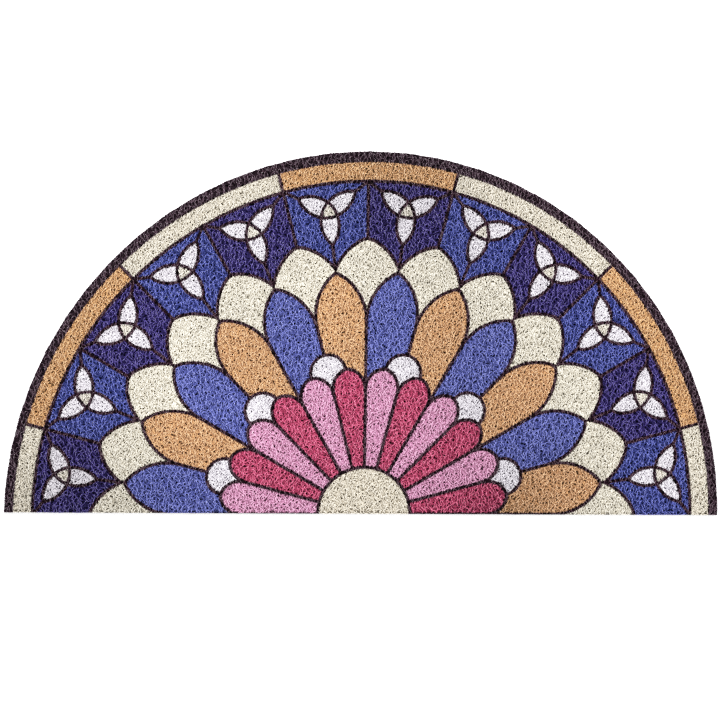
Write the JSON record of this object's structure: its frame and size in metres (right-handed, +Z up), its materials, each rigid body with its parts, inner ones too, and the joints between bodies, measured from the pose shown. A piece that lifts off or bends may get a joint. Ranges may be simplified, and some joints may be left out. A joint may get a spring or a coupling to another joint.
{
  "type": "half-round doormat",
  "caption": "Half-round doormat of curled vinyl thread, flat, with one straight side, printed with a stained-glass rosette.",
  "frame": {"origin": "under the middle of the mat's box, on the surface it lies on", "axes": "+X along the straight edge, +Y from the straight edge towards the curved one, +Z up"},
  "size_m": [0.8998, 0.4584, 0.01],
  "materials": {
    "printed_vinyl": "curled vinyl thread, printed, matt with a faint sheen"
  },
  "bodies": {
    "root": {"mat": "printed_vinyl"}
  },
  "joints": []
}
